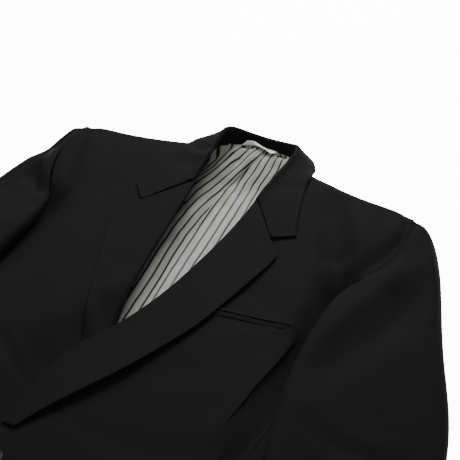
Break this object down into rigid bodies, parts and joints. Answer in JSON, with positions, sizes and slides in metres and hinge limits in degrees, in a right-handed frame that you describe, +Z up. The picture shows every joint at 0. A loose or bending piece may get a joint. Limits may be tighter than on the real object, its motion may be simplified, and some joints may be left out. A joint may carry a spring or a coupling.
{
  "type": "tailored jacket",
  "caption": "Black tailored jacket laid flat on its back, notched lapels, jetted breast pocket, striped lining in the open neck.",
  "frame": {"origin": "middle of the footprint, on the surface that the jacket lies on", "axes": "+X to the wearer's left, +Y from hem to collar, +Z up out of the front"},
  "size_m": [0.8598, 0.8448, 0.0637],
  "materials": {
    "wool": "matt black fine wool",
    "lining": "grey satin with thin dark stripes",
    "label": "white woven label, blank",
    "button": "satin black"
  },
  "bodies": {
    "root": {"front_left": "wool", "front_right": "wool", "lapel_left": "wool", "lapel_right": "wool", "side_left": "wool", "side_right": "wool", "back_left": "wool", "back_right": "wool", "top_sleeve_left": "wool", "top_sleeve_right": "wool", "under_sleeve_left": "wool", "under_sleeve_right": "wool", "collar_leaf": "wool", "collar_stand": "wool", "pocket_upper_jet": "wool", "pocket_lower_jet": "wool", "back_lining": "lining", "neck_label": "label", "button_upper": "button", "button_lower": "button"}
  },
  "joints": []
}
